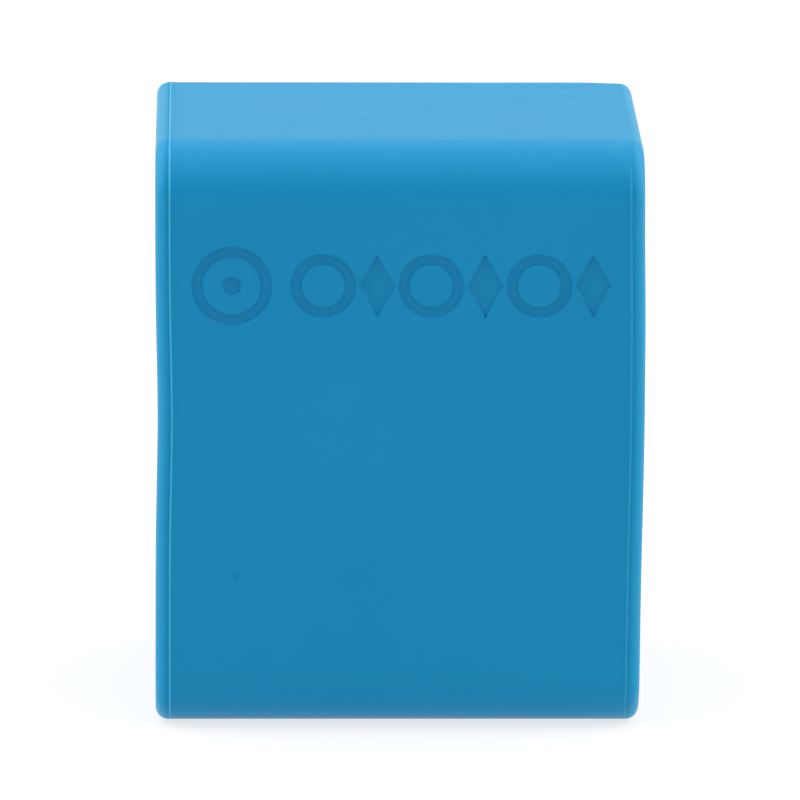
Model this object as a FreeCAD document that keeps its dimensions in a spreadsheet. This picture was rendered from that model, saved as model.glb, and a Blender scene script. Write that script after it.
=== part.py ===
import FreeCAD, Part
import math
import os
import Sketcher

# A pocket case for one cube of cue chalk. A short tube with rounded long edges stands upright.
# Its left end is closed by a screwed cap. Its right end is closed by the front of a drawer, which
# slides out along +X and carries the chalk. A magnet block fills the bottom of the tube.
# Origin: the centre of the underside. +Z is up, the marked face looks along -Y. Millimetres.

SIZES = [
    ("case_width", 36.0, "whole case, X"),
    ("case_depth", 28.4, "whole case, Y"),
    ("case_height", 44.2, "whole case, Z"),
    ("edge_round", 4.1, "radius of the tube's four long edges"),
    ("wall", 1.5, "tube wall"),
    ("bead_height", 0.08, "raised line round each end of the tube"),
    ("bead_width", 0.16, "raised line, X"),
    ("plate", 0.97, "end pieces, the part outside the tube, X"),
    ("plate_round", 0.93, "radius of the end pieces' outer edge"),
    ("plug_length", 2.23, "end pieces, the part inside the tube, X"),
    ("cap_play", 0.08, "left cap to bore, each side"),
    ("front_play", 0.15, "drawer front to bore, each side"),
    ("mark_depth", 0.3, "sunk mark on the front face"),
    ("mark_level", 33.9, "middle of the mark, Z"),
    ("ball_radius", 2.4, "small ring of the mark, outside"),
    ("ball_start", -5.7, "first small ring, X"),
    ("spot_radius", 2.95, "large ring of the mark, outside"),
    ("spot_start", -12.4, "large ring, X"),
    ("spot_dot", 0.7, "dot inside the large ring, radius"),
    ("stroke", 0.82, "line width of the mark's rings"),
    ("sight_width", 2.7, "lozenge of the mark, X"),
    ("mark_pitch", 7.93, "from one ring to the next"),
    ("block_top", 9.0, "top of the magnet block, Z"),
    ("block_play", 0.1, "magnet block to bore, each side"),
    ("magnet_radius", 4.0, "disc magnet"),
    ("magnet_height", 3.0, "disc magnet"),
    ("magnet_offset", 8.0, "magnet centre from the case's middle, X"),
    ("keeper_height", 2.5, "steel bar over the magnets"),
    ("keeper_play", 0.1, "magnets and steel bar to their slot, each side"),
    ("pin_radius", 0.6, "drawer stop pin"),
    ("pin_place", 13.6, "drawer stop pin, X"),
    ("pin_foot", 5.0, "lower end of the stop pin, Z"),
    ("pin_tip", 9.95, "upper end of the stop pin, Z"),
    ("pin_slack", 0.1, "stop pin to the front end of its groove when shut, X"),
    ("travel", 26.0, "drawer stroke, X"),
    ("tray_play", 0.1, "tray above the magnet block"),
    ("tray_width", 24.6, "tray, Y"),
    ("tray_tail", 14.0, "tray's rear end behind the case's middle, X"),
    ("tray_rim", 24.0, "top of the tray's walls, Z"),
    ("tail_rim", 15.0, "top of the tray's low rear part, Z"),
    ("tray_floor", 1.5, "tray floor"),
    ("tray_wall", 0.8, "tray side and rear walls"),
    ("tray_front", 1.6, "tray front wall"),
    ("tray_corner", 0.7, "tray's outer corner radius"),
    ("notch_width", 12.0, "finger notch in the tray's side walls, X"),
    ("notch_depth", 7.0, "finger notch, Z"),
    ("notch_round", 2.5, "finger notch corner radius"),
    ("groove_width", 1.5, "groove under the tray for the stop pin, Y"),
    ("groove_depth", 1.0, "groove under the tray, Z"),
    ("chalk_side", 22.2, "standard chalk cube, seven eighths of an inch"),
    ("chalk_edge", 0.5, "worn upper edges of the chalk"),
    ("dish_radius", 10.5, "radius of the worn dish"),
    ("dish_depth", 2.6, "depth of the worn dish"),
    ("paper", 0.15, "label thickness"),
    ("label_gap", 1.4, "bare chalk above the label, Z"),
    ("chalk_play", 0.15, "label to the tray's end walls"),
    ("pad_side", 18.0, "adhesive pad under the chalk"),
    ("pad_height", 0.3, "adhesive pad under the chalk"),
    ("seal_width", 0.9, "dust seal, X"),
    ("seal_height", 0.9, "dust seal, from its inside to its outside"),
    ("seal_play", 0.05, "dust seal to bore, each side"),
    ("seal_setback", 0.6, "dust seal behind the tube's mouth, X"),
    ("grip_level", 29.0, "finger grip in the drawer front, middle, Z"),
    ("grip_span", 6.0, "finger grip, between the centres of its round ends, Y"),
    ("grip_radius", 3.5, "finger grip, radius of its round ends"),
    ("grip_lip", 1.0, "finger grip, thickness of the lip round it"),
    ("grip_depth", 2.2, "finger grip, whole depth"),
    ("grip_undercut", 0.9, "finger grip, hollow behind the lip"),
    ("screw_radius", 1.0, "small countersunk screws"),
    ("head_radius", 1.9, "their heads"),
    ("head_height", 0.9, "their heads"),
    ("drive_radius", 0.55, "socket in their heads"),
    ("drive_depth", 0.6, "socket in their heads"),
    ("screw_hole", 1.05, "holes that the screws pass or cut into, radius"),
    ("screw_room", 0.3, "hole beyond each screw's tip, X"),
    ("cap_screw_length", 8.0, "left cap screws"),
    ("cap_screw_side", 8.5, "left cap screws, Y"),
    ("cap_screw_level", 5.2, "left cap screws, Z"),
    ("front_screw_length", 3.6, "drawer front screws"),
    ("front_screw_side", 8.0, "drawer front screws, Y"),
    ("front_screw_level", 17.0, "drawer front screws, Z"),
    ("cored_level", 11.0, "bottom of the hollow inside the left cap, Z"),
    ("cored_rim", 1.6, "rim round the hollow inside the left cap"),
    ("cored_depth", 1.8, "hollow inside the left cap, X"),
]

# Levels and places that several pieces share, as expressions of the sizes.
TUBE_END = "(dims.case_width / 2 - dims.plate)"
PLUG_END = "(dims.case_width / 2 - dims.plate - dims.plug_length)"
TRAY_UNDERSIDE = "(dims.block_top + dims.tray_play)"
TRAY_INSIDE = "(dims.block_top + dims.tray_play + dims.tray_floor)"
LABEL_BASE = "(dims.block_top + dims.tray_play + dims.tray_floor + dims.pad_height)"
CHALK_FRONT = "(%s - dims.tray_front - dims.chalk_play - dims.paper)" % PLUG_END
CHALK_MIDDLE = "(%s - dims.chalk_side / 2)" % CHALK_FRONT
POCKET_REAR = "(%s - dims.chalk_side - dims.paper - dims.chalk_play)" % CHALK_FRONT

SMALL = 1e-6
SAME_PLANE = 1e-4
QUARTER_TURN = math.pi / 2
# Turns a part made along Z so that it points along +X.
ALONG_X = FreeCAD.Rotation(FreeCAD.Vector(0, 1, 0), 90)
NODES = []

doc = FreeCAD.newDocument("chalk_case")
sheet = doc.addObject("Spreadsheet::Sheet", "dims")
for row, (alias, number, note) in enumerate(SIZES, start=1):
    sheet.set("A%d" % row, alias)
    sheet.set("B%d" % row, str(number))
    sheet.setAlias("B%d" % row, alias)
    sheet.set("C%d" % row, note)
doc.recompute()


def value(expression):
    """The number that an expression of the sheet's sizes gives now."""
    result = sheet.evalExpression(expression)
    return float(getattr(result, "Value", result))


def bind(thing, name, expression):
    """Set a property and tie it to the sheet."""
    thing.setExpression(name, expression)


def new_body(node):
    body = doc.addObject("PartDesign::Body", node)
    body.Label = node
    NODES.append(body)
    return body


def new_sketch(body, name, role, offset="0"):
    """A sketch on one of the body's own origin planes, moved along the plane's normal."""
    plane = next(f for f in body.Origin.OriginFeatures if f.Role == role)
    sketch = body.newObject("Sketcher::SketchObject", name)
    sketch.AttachmentSupport = [(plane, "")]
    sketch.MapMode = "FlatFace"
    bind(sketch, "AttachmentOffset.Base.z", offset)
    return sketch


def constrain(sketch, kind, places, expression):
    """A dimension tied to the sheet. Negative ones are written the other way round."""
    number = value(expression)
    index = sketch.addConstraint(Sketcher.Constraint(kind, *places, abs(number)))
    sketch.setExpression("Constraints[%d]" % index, expression if number > 0 else "-(%s)" % expression)


def place(sketch, shape, point, across, up):
    """Hold a point of the sketch at (across, up) from the sketch's origin."""
    for kind, axis, expression in (("DistanceX", -2, across), ("DistanceY", -1, up)):
        number = value(expression)
        if abs(number) < SMALL:
            sketch.addConstraint(Sketcher.Constraint("PointOnObject", shape, point, axis))
        elif number > 0:
            constrain(sketch, kind, (-1, 1, shape, point), expression)
        else:
            constrain(sketch, kind, (shape, point, -1, 1), expression)


def circle(sketch, across, up, radius):
    centre = FreeCAD.Vector(value(across), value(up), 0)
    index = sketch.addGeometry(Part.Circle(centre, FreeCAD.Vector(0, 0, 1), value(radius)))
    constrain(sketch, "Radius", (index,), radius)
    place(sketch, index, 3, across, up)


def polygon(sketch, corners):
    """A closed outline of straight lines through corners given as (across, up) expressions."""
    points = [FreeCAD.Vector(value(a), value(u), 0) for a, u in corners]
    count = len(points)
    first = sketch.GeometryCount
    for i in range(count):
        sketch.addGeometry(Part.LineSegment(points[i], points[(i + 1) % count]))
    for i in range(count):
        sketch.addConstraint(Sketcher.Constraint("Coincident", first + i, 2, first + (i + 1) % count, 1))
    for i, (across, up) in enumerate(corners):
        place(sketch, first + i, 1, across, up)


def rectangle(sketch, left, right, bottom, top):
    polygon(sketch, [(left, bottom), (right, bottom), (right, top), (left, top)])


def arc(across, up, radius, start, end):
    ring = Part.Circle(FreeCAD.Vector(across, up, 0), FreeCAD.Vector(0, 0, 1), radius)
    return Part.ArcOfCircle(ring, start, end)


def round_ended(sketch, half_span, up, radius):
    """A slot outline along the sketch's first axis: two half circles half_span either side of the middle."""
    a, u, r = value(half_span), value(up), value(radius)
    first = sketch.GeometryCount
    sketch.addGeometry(Part.LineSegment(FreeCAD.Vector(-a, u - r, 0), FreeCAD.Vector(a, u - r, 0)))
    sketch.addGeometry(arc(a, u, r, -QUARTER_TURN, QUARTER_TURN))
    sketch.addGeometry(Part.LineSegment(FreeCAD.Vector(a, u + r, 0), FreeCAD.Vector(-a, u + r, 0)))
    sketch.addGeometry(arc(-a, u, r, QUARTER_TURN, 3 * QUARTER_TURN))
    for i in range(4):
        sketch.addConstraint(Sketcher.Constraint("Tangent", first + i, 2, first + (i + 1) % 4, 1))
    for line in (0, 2):
        sketch.addConstraint(Sketcher.Constraint("Horizontal", first + line))
    constrain(sketch, "Radius", (first + 1,), radius)
    constrain(sketch, "DistanceX", (first + 3, 3, first + 1, 3), "2 * (%s)" % half_span)
    place(sketch, first + 1, 3, half_span, up)


def rounded_rectangle(sketch, width, height, top, radius, middle="0"):
    """Four lines and four equal arcs, centred on middle, with its upper side at top."""
    w, r = value(width) / 2, value(radius)
    t, m = value(top), value(middle)
    b = t - value(height)
    first = sketch.GeometryCount
    sides = [((m - w + r, b), (m + w - r, b)), ((m + w, b + r), (m + w, t - r)),
             ((m + w - r, t), (m - w + r, t)), ((m - w, t - r), (m - w, b + r))]
    corners = [(m + w - r, b + r, 3), (m + w - r, t - r, 0), (m - w + r, t - r, 1), (m - w + r, b + r, 2)]
    for (start, end), (across, up, quarter) in zip(sides, corners):
        sketch.addGeometry(Part.LineSegment(FreeCAD.Vector(*start, 0), FreeCAD.Vector(*end, 0)))
        sketch.addGeometry(arc(across, up, r, quarter * QUARTER_TURN, (quarter + 1) * QUARTER_TURN))
    for i in range(8):
        sketch.addConstraint(Sketcher.Constraint("Tangent", first + i, 2, first + (i + 1) % 8, 1))
    for line, kind in ((0, "Horizontal"), (2, "Vertical"), (4, "Horizontal"), (6, "Vertical")):
        sketch.addConstraint(Sketcher.Constraint(kind, first + line))
    for corner in (3, 5, 7):
        sketch.addConstraint(Sketcher.Constraint("Equal", first + 1, first + corner))
    constrain(sketch, "Radius", (first + 1,), radius)
    constrain(sketch, "DistanceX", (first + 6, 1, first + 2, 1), width)
    constrain(sketch, "DistanceY", (first, 1, first + 4, 1), height)
    right = "(%s) + (%s) / 2" % (middle, width)
    lower = "(%s) - (%s) + (%s)" % (top, height, radius)
    place(sketch, first + 2, 1, right, lower)


def inset_outline(sketch, inset):
    """The case's own outline seen along X, moved inwards by inset all round."""
    rounded_rectangle(sketch, "dims.case_depth - 2 * " + inset, "dims.case_height - 2 * " + inset,
                      "dims.case_height - " + inset, "dims.edge_round - " + inset)


def feature(body, kind, name, sketch, length, reverse):
    made = body.newObject("PartDesign::" + kind, name)
    made.Profile = sketch
    bind(made, "Length", length)
    made.Reversed = reverse
    sketch.Visibility = False
    doc.recompute()
    return made


def pad(body, name, sketch, length, backwards=False):
    """Material from the sketch along its normal, or against it when backwards."""
    return feature(body, "Pad", name, sketch, length, backwards)


def pocket(body, name, sketch, length, forwards=False):
    """A cut from the sketch against its normal, or along it when forwards. It has to remove something."""
    before = body.Shape.Volume
    made = feature(body, "Pocket", name, sketch, length, forwards)
    if body.Shape.Volume > before - SMALL:
        raise RuntimeError("%s cut nothing" % name)
    return made


def edges_on(shape, axis, level, running=None):
    """Names of the edges in the plane axis = level, or only of those that run along the axis running."""
    names = []
    for i, edge in enumerate(shape.Edges, start=1):
        box = edge.BoundBox
        low, high = getattr(box, axis + "Min"), getattr(box, axis + "Max")
        flat = abs(low - level) < SAME_PLANE and abs(high - level) < SAME_PLANE
        along = running is None or getattr(box, running + "Length") > edge.Length - SAME_PLANE
        if flat and along:
            names.append("Edge%d" % i)
    return names


def dress(body, kind, name, edges, size_name, size):
    """A fillet or chamfer on named edges of the body's last feature."""
    base = body.Tip
    made = body.newObject("PartDesign::" + kind, name)
    made.Base = (base, edges)
    bind(made, size_name, size)
    doc.recompute()
    return made


def screw_holes(body, name, offset, side, level, length, forwards=False):
    """Two round holes along X, one each side of the middle, from the plane x = offset."""
    sketch = new_sketch(body, name + "_outline", "YZ_Plane", offset)
    circle(sketch, side, level, "dims.screw_hole")
    circle(sketch, "-%s" % side, level, "dims.screw_hole")
    return pocket(body, name, sketch, length, forwards)


def countersinks(body, name, mouth, side, level):
    """Cone seats for two screw heads. Their wide ends lie at x = mouth and they narrow towards +X."""
    for hand in ("", "-"):
        seat = body.newObject("PartDesign::SubtractiveCone", name)
        bind(seat, "Radius1", "dims.head_radius")
        bind(seat, "Radius2", "dims.screw_radius")
        bind(seat, "Height", "dims.head_height")
        seat.Placement = FreeCAD.Placement(FreeCAD.Vector(), ALONG_X)
        bind(seat, "Placement.Base.x", mouth)
        bind(seat, "Placement.Base.y", hand + side)
        bind(seat, "Placement.Base.z", level)
    doc.recompute()


# ---------------------------------------------------------------- case_sleeve: the blue tube

def case_sleeve():
    body = new_body("case_sleeve")
    outside = new_sketch(body, "sleeve_outline", "YZ_Plane", "-" + TUBE_END)
    inset_outline(outside, "0")
    pad(body, "sleeve_solid", outside, "2 * " + TUBE_END)

    # The raised line round each mouth, trimmed off below so that the case stands flat.
    for hand, name in (("", "right"), ("-", "left")):
        bead = new_sketch(body, name + "_bead_outline", "YZ_Plane", hand + TUBE_END)
        inset_outline(bead, "(-dims.bead_height)")
        pad(body, name + "_bead", bead, "dims.bead_width", backwards=(name == "right"))
    below = new_sketch(body, "underside", "XY_Plane")
    rectangle(below, "-dims.case_width", "dims.case_width", "-dims.case_depth", "dims.case_depth")
    pocket(body, "trimmed_underside", below, "dims.wall")

    bore = new_sketch(body, "bore_outline", "YZ_Plane", TUBE_END)
    inset_outline(bore, "dims.wall")
    pocket(body, "bore", bore, "2 * " + TUBE_END)

    # The sunk mark: a ball on its spot, then balls and rail sights in turn.
    spot = new_sketch(body, "spot_outline", "XZ_Plane", "dims.case_depth / 2")
    circle(spot, "dims.spot_start", "dims.mark_level", "dims.spot_radius")
    circle(spot, "dims.spot_start", "dims.mark_level", "dims.spot_radius - dims.stroke")
    circle(spot, "dims.spot_start", "dims.mark_level", "dims.spot_dot")
    pocket(body, "spot", spot, "dims.mark_depth")
    motif = new_sketch(body, "ball_and_sight_outline", "XZ_Plane", "dims.case_depth / 2")
    circle(motif, "dims.ball_start", "dims.mark_level", "dims.ball_radius")
    circle(motif, "dims.ball_start", "dims.mark_level", "dims.ball_radius - dims.stroke")
    sight = "(dims.ball_start + dims.mark_pitch / 2)"
    polygon(motif, [(sight + " - dims.sight_width / 2", "dims.mark_level"),
                    (sight, "dims.mark_level - dims.ball_radius"),
                    (sight + " + dims.sight_width / 2", "dims.mark_level"),
                    (sight, "dims.mark_level + dims.ball_radius")])
    cut = pocket(body, "ball_and_sight", motif, "dims.mark_depth")
    row = body.newObject("PartDesign::LinearPattern", "mark_row")
    row.Originals = [cut]
    row.Direction = (motif, ["H_Axis"])
    bind(row, "Length", "2 * dims.mark_pitch")
    row.Occurrences = 3
    body.Tip = row
    doc.recompute()


# ---------------------------------------------------------------- end pieces

def end_piece(node, side, play):
    """An outer plate with a rounded edge and a plug that enters the tube. side is 1 right, -1 left."""
    body = new_body(node)
    hand = "" if side > 0 else "-"
    plate = new_sketch(body, node + "_plate_outline", "YZ_Plane", hand + TUBE_END)
    inset_outline(plate, "0")
    pad(body, node + "_plate", plate, "dims.plate", backwards=(side < 0))
    outer = edges_on(body.Shape, "X", side * value("dims.case_width / 2"))
    dress(body, "Fillet", node + "_rounded_edge", outer, "Radius", "dims.plate_round")
    plug = new_sketch(body, node + "_plug_outline", "YZ_Plane", hand + TUBE_END)
    inset_outline(plug, "(dims.wall + %s)" % play)
    pad(body, node + "_plug", plug, "dims.plug_length", backwards=(side > 0))
    return body


def left_end_cap():
    body = end_piece("left_end_cap", -1, "dims.cap_play")
    # The upper part is cored out from inside. The lower part stays solid for the screws.
    cored = new_sketch(body, "cap_hollow_outline", "YZ_Plane", "-" + PLUG_END)
    rounded_rectangle(cored, "dims.case_depth - 2 * (dims.wall + dims.cap_play + dims.cored_rim)",
                      "dims.case_height - dims.wall - dims.cap_play - dims.cored_rim - dims.cored_level",
                      "dims.case_height - dims.wall - dims.cap_play - dims.cored_rim", "dims.cored_rim")
    pocket(body, "cap_hollow", cored, "dims.cored_depth")
    screw_holes(body, "cap_screw_holes", "-" + PLUG_END, "dims.cap_screw_side", "dims.cap_screw_level",
                "dims.plate + dims.plug_length")
    countersinks(body, "cap_screw_seat", "-dims.case_width / 2", "dims.cap_screw_side",
                 "dims.cap_screw_level")


def drawer_front():
    body = end_piece("drawer_front", 1, "dims.front_play")
    # The seal's groove runs right round the plug.
    channel = new_sketch(body, "seal_channel_outline", "YZ_Plane", TUBE_END + " - dims.seal_setback")
    for shrink in ("dims.wall", "(dims.wall + dims.seal_play + dims.seal_height)"):
        inset_outline(channel, shrink)
    pocket(body, "seal_channel", channel, "dims.seal_width")
    # The grip: a mouth through the outer face, wider behind its lip so that a nail can pull on it.
    mouth = new_sketch(body, "grip_mouth_outline", "YZ_Plane", "dims.case_width / 2")
    round_ended(mouth, "dims.grip_span / 2", "dims.grip_level", "dims.grip_radius")
    pocket(body, "grip_mouth", mouth, "dims.grip_depth")
    hollow = new_sketch(body, "grip_hollow_outline", "YZ_Plane", "dims.case_width / 2 - dims.grip_lip")
    round_ended(hollow, "dims.grip_span / 2", "dims.grip_level", "dims.grip_radius + dims.grip_undercut")
    pocket(body, "grip_hollow", hollow, "dims.grip_depth - dims.grip_lip")
    screw_holes(body, "front_pilot_holes", PLUG_END, "dims.front_screw_side", "dims.front_screw_level",
                "dims.front_screw_length - dims.tray_front + dims.screw_room", forwards=True)


def dust_seal():
    body = new_body("dust_seal")
    outline = new_sketch(body, "seal_outline", "YZ_Plane", TUBE_END + " - dims.seal_setback")
    for shrink in ("(dims.wall + dims.seal_play)", "(dims.wall + dims.seal_play + dims.seal_height)"):
        inset_outline(outline, shrink)
    pad(body, "seal_ring", outline, "dims.seal_width", backwards=True)


# ---------------------------------------------------------------- magnet block and what it holds

def magnet_block():
    body = new_body("magnet_block")
    block_end = "(%s - dims.block_play)" % PLUG_END
    block_side = "(dims.case_depth / 2 - dims.wall - dims.block_play)"
    outline = new_sketch(body, "block_outline", "YZ_Plane", "-" + block_end)
    rectangle(outline, "-" + block_side, block_side, "dims.wall", "dims.block_top")
    pad(body, "block_solid", outline, "2 * " + block_end)
    lower = edges_on(body.Shape, "Z", value("dims.wall"), running="X")
    dress(body, "Fillet", "block_lower_edges", lower, "Radius", "dims.edge_round - dims.wall")
    # The slot for the steel bar and the magnets under its two ends opens downwards.
    slot = new_sketch(body, "keeper_slot_outline", "XY_Plane", "dims.wall")
    round_ended(slot, "dims.magnet_offset", "0", "dims.magnet_radius + dims.keeper_play")
    pocket(body, "keeper_slot", slot, "dims.magnet_height + dims.keeper_height", forwards=True)
    pin = new_sketch(body, "pin_hole_outline", "XY_Plane", "dims.block_top")
    circle(pin, "dims.pin_place", "0", "dims.pin_radius")
    pocket(body, "pin_hole", pin, "dims.block_top - dims.pin_foot")
    screw_holes(body, "block_pilot_holes", "-" + block_end, "dims.cap_screw_side", "dims.cap_screw_level",
                "dims.cap_screw_length - dims.plate - dims.plug_length + dims.screw_room", forwards=True)


def keeper_bar():
    body = new_body("keeper_bar")
    outline = new_sketch(body, "keeper_outline", "XY_Plane", "dims.wall + dims.magnet_height")
    round_ended(outline, "dims.magnet_offset", "0", "dims.magnet_radius")
    pad(body, "keeper_solid", outline, "dims.keeper_height")


def base_magnets():
    discs = []
    for name, hand in (("left_magnet", "-"), ("right_magnet", "")):
        disc = doc.addObject("Part::Cylinder", name)
        bind(disc, "Radius", "dims.magnet_radius")
        bind(disc, "Height", "dims.magnet_height")
        bind(disc, "Placement.Base.x", hand + "dims.magnet_offset")
        bind(disc, "Placement.Base.z", "dims.wall")
        discs.append(disc)
    pair = doc.addObject("Part::Compound", "base_magnets")
    pair.Links = discs
    pair.Label = "base_magnets"
    NODES.append(pair)


def guide_pin():
    pin = doc.addObject("Part::Cylinder", "guide_pin")
    pin.Label = "guide_pin"
    bind(pin, "Radius", "dims.pin_radius")
    bind(pin, "Height", "dims.pin_tip - dims.pin_foot")
    bind(pin, "Placement.Base.x", "dims.pin_place")
    bind(pin, "Placement.Base.z", "dims.pin_foot")
    NODES.append(pin)


# ---------------------------------------------------------------- screws

def screw_pair(node, length, mouth, side, level):
    """Two countersunk screws with hexagon sockets. Their heads lie at x = mouth and they point along +X."""
    shank = doc.addObject("Part::Cylinder", node + "_shank")
    bind(shank, "Radius", "dims.screw_radius")
    bind(shank, "Height", length)
    head = doc.addObject("Part::Cone", node + "_head")
    bind(head, "Radius1", "dims.head_radius")
    bind(head, "Radius2", "dims.screw_radius")
    bind(head, "Height", "dims.head_height")
    blank = doc.addObject("Part::Fuse", node + "_blank")
    blank.Base = shank
    blank.Tool = head
    drive = doc.addObject("Part::Prism", node + "_drive")
    bind(drive, "Circumradius", "dims.drive_radius")
    bind(drive, "Height", "dims.drive_depth")
    pieces = []
    for name, hand in (("_near", "-"), ("_far", "")):
        screw = doc.addObject("Part::Cut", node + name)
        screw.Base = blank
        screw.Tool = drive
        screw.Placement = FreeCAD.Placement(FreeCAD.Vector(), ALONG_X)
        bind(screw, "Placement.Base.x", mouth)
        bind(screw, "Placement.Base.y", hand + side)
        bind(screw, "Placement.Base.z", level)
        pieces.append(screw)
    pair = doc.addObject("Part::Compound", node)
    pair.Links = pieces
    pair.Label = node
    NODES.append(pair)


# ---------------------------------------------------------------- drawer_tray

def drawer_tray():
    body = new_body("drawer_tray")
    length = "(dims.tray_tail + %s)" % PLUG_END
    middle = "(%s - %s / 2)" % (PLUG_END, length)
    half = "dims.tray_width / 2"
    inner = "(dims.tray_width / 2 - dims.tray_wall)"
    outline = new_sketch(body, "tray_outline", "XY_Plane", TRAY_UNDERSIDE)
    rounded_rectangle(outline, length, "dims.tray_width", half, "dims.tray_corner", middle)
    pad(body, "tray_solid", outline, "dims.tray_rim - " + TRAY_UNDERSIDE)

    chalk_room = new_sketch(body, "chalk_room_outline", "XY_Plane", "dims.tray_rim")
    rectangle(chalk_room, POCKET_REAR, PLUG_END + " - dims.tray_front", "-" + inner, inner)
    pocket(body, "chalk_room", chalk_room, "dims.tray_rim - " + TRAY_INSIDE)

    low = new_sketch(body, "low_tail_outline", "XY_Plane", "dims.tray_rim")
    rectangle(low, "-dims.case_width", POCKET_REAR + " - dims.tray_wall",
              "-dims.tray_width", "dims.tray_width")
    pocket(body, "low_tail", low, "dims.tray_rim - dims.tail_rim")
    tail = new_sketch(body, "tail_room_outline", "XY_Plane", "dims.tail_rim")
    rectangle(tail, "-dims.tray_tail + dims.tray_wall", POCKET_REAR + " - dims.tray_wall", "-" + inner, inner)
    pocket(body, "tail_room", tail, "dims.tail_rim - " + TRAY_INSIDE)

    # Finger notches in both long walls, so that a worn cube can be lifted out.
    notch = new_sketch(body, "notch_outline", "XZ_Plane", "dims.tray_width")
    rounded_rectangle(notch, "dims.notch_width", "2 * dims.notch_depth", "dims.tray_rim + dims.notch_depth",
                      "dims.notch_round", CHALK_MIDDLE)
    pocket(body, "finger_notches", notch, "2 * dims.tray_width")

    # The blind groove under the floor that the stop pin runs in. Its ends limit the drawer's travel.
    groove = new_sketch(body, "pin_groove_outline", "XY_Plane", TRAY_UNDERSIDE)
    rectangle(groove, "dims.pin_place - dims.travel - dims.pin_radius",
              "dims.pin_place + dims.pin_radius + dims.pin_slack",
              "-dims.groove_width / 2", "dims.groove_width / 2")
    pocket(body, "pin_groove", groove, "dims.groove_depth", forwards=True)
    screw_holes(body, "tray_screw_holes", PLUG_END, "dims.front_screw_side", "dims.front_screw_level",
                "dims.tray_front")
    countersinks(body, "tray_screw_seat", PLUG_END + " - dims.tray_front", "dims.front_screw_side",
                 "dims.front_screw_level")


# ---------------------------------------------------------------- chalk, its label and its pad

def chalk_cube():
    body = new_body("chalk_cube")
    half = "(dims.chalk_side / 2)"
    square = new_sketch(body, "chalk_outline", "XY_Plane")
    rectangle(square, "-" + half, half, "-" + half, half)
    pad(body, "chalk_block", square, "dims.chalk_side")
    upper = edges_on(body.Shape, "Z", value("dims.chalk_side"))
    dress(body, "Chamfer", "chalk_worn_edges", upper, "Size", "dims.chalk_edge")
    dish = body.newObject("PartDesign::SubtractiveSphere", "chalk_dish")
    bind(dish, "Radius", "dims.dish_radius")
    bind(dish, "Placement.Base.z", "dims.chalk_side + dims.dish_radius - dims.dish_depth")
    bind(body, "Placement.Base.x", CHALK_MIDDLE)
    bind(body, "Placement.Base.z", LABEL_BASE + " + dims.paper")


def chalk_label():
    body = new_body("chalk_label")
    outer = "(dims.chalk_side / 2 + dims.paper)"
    inner = "(dims.chalk_side / 2)"
    outline = new_sketch(body, "label_outline", "XY_Plane")
    rectangle(outline, "-" + outer, outer, "-" + outer, outer)
    pad(body, "label_wrap", outline, "dims.chalk_side + dims.paper - dims.label_gap")
    room = new_sketch(body, "label_inside", "XY_Plane", "dims.paper")
    rectangle(room, "-" + inner, inner, "-" + inner, inner)
    pocket(body, "label_room", room, "dims.chalk_side", forwards=True)
    bind(body, "Placement.Base.x", CHALK_MIDDLE)
    bind(body, "Placement.Base.z", LABEL_BASE)


def adhesive_pad():
    pad_box = doc.addObject("Part::Box", "adhesive_pad")
    pad_box.Label = "adhesive_pad"
    bind(pad_box, "Length", "dims.pad_side")
    bind(pad_box, "Width", "dims.pad_side")
    bind(pad_box, "Height", "dims.pad_height")
    bind(pad_box, "Placement.Base.x", CHALK_MIDDLE + " - dims.pad_side / 2")
    bind(pad_box, "Placement.Base.y", "-dims.pad_side / 2")
    bind(pad_box, "Placement.Base.z", TRAY_INSIDE)
    NODES.append(pad_box)


case_sleeve()
left_end_cap()
magnet_block()
keeper_bar()
base_magnets()
guide_pin()
screw_pair("cap_screws", "dims.cap_screw_length", "-dims.case_width / 2", "dims.cap_screw_side",
           "dims.cap_screw_level")
drawer_front()
dust_seal()
drawer_tray()
screw_pair("front_screws", "dims.front_screw_length", PLUG_END + " - dims.tray_front",
           "dims.front_screw_side", "dims.front_screw_level")
adhesive_pad()
chalk_label()
chalk_cube()
doc.recompute()

for thing in doc.Objects:
    if "Invalid" in thing.State or "Error" in thing.State:
        raise RuntimeError("%s failed: %s" % (thing.Label, thing.State))
for node in NODES:
    if node.Shape.isNull() or not node.Shape.isValid():
        raise RuntimeError("%s has no valid shape" % node.Label)

os.makedirs("parts", exist_ok=True)
for node in NODES:
    node.Shape.exportStep(os.path.join("parts", node.Label + ".step"))
    box = node.Shape.BoundBox
    print("%-14s solids %d volume %9.2f  x %.2f..%.2f  y %.2f..%.2f  z %.2f..%.2f" % (
        node.Label, len(node.Shape.Solids), node.Shape.Volume,
        box.XMin, box.XMax, box.YMin, box.YMax, box.ZMin, box.ZMax))
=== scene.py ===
import math

import bmesh
import bpy
import numpy as np
from mathutils import Matrix, Vector, noise


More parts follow.
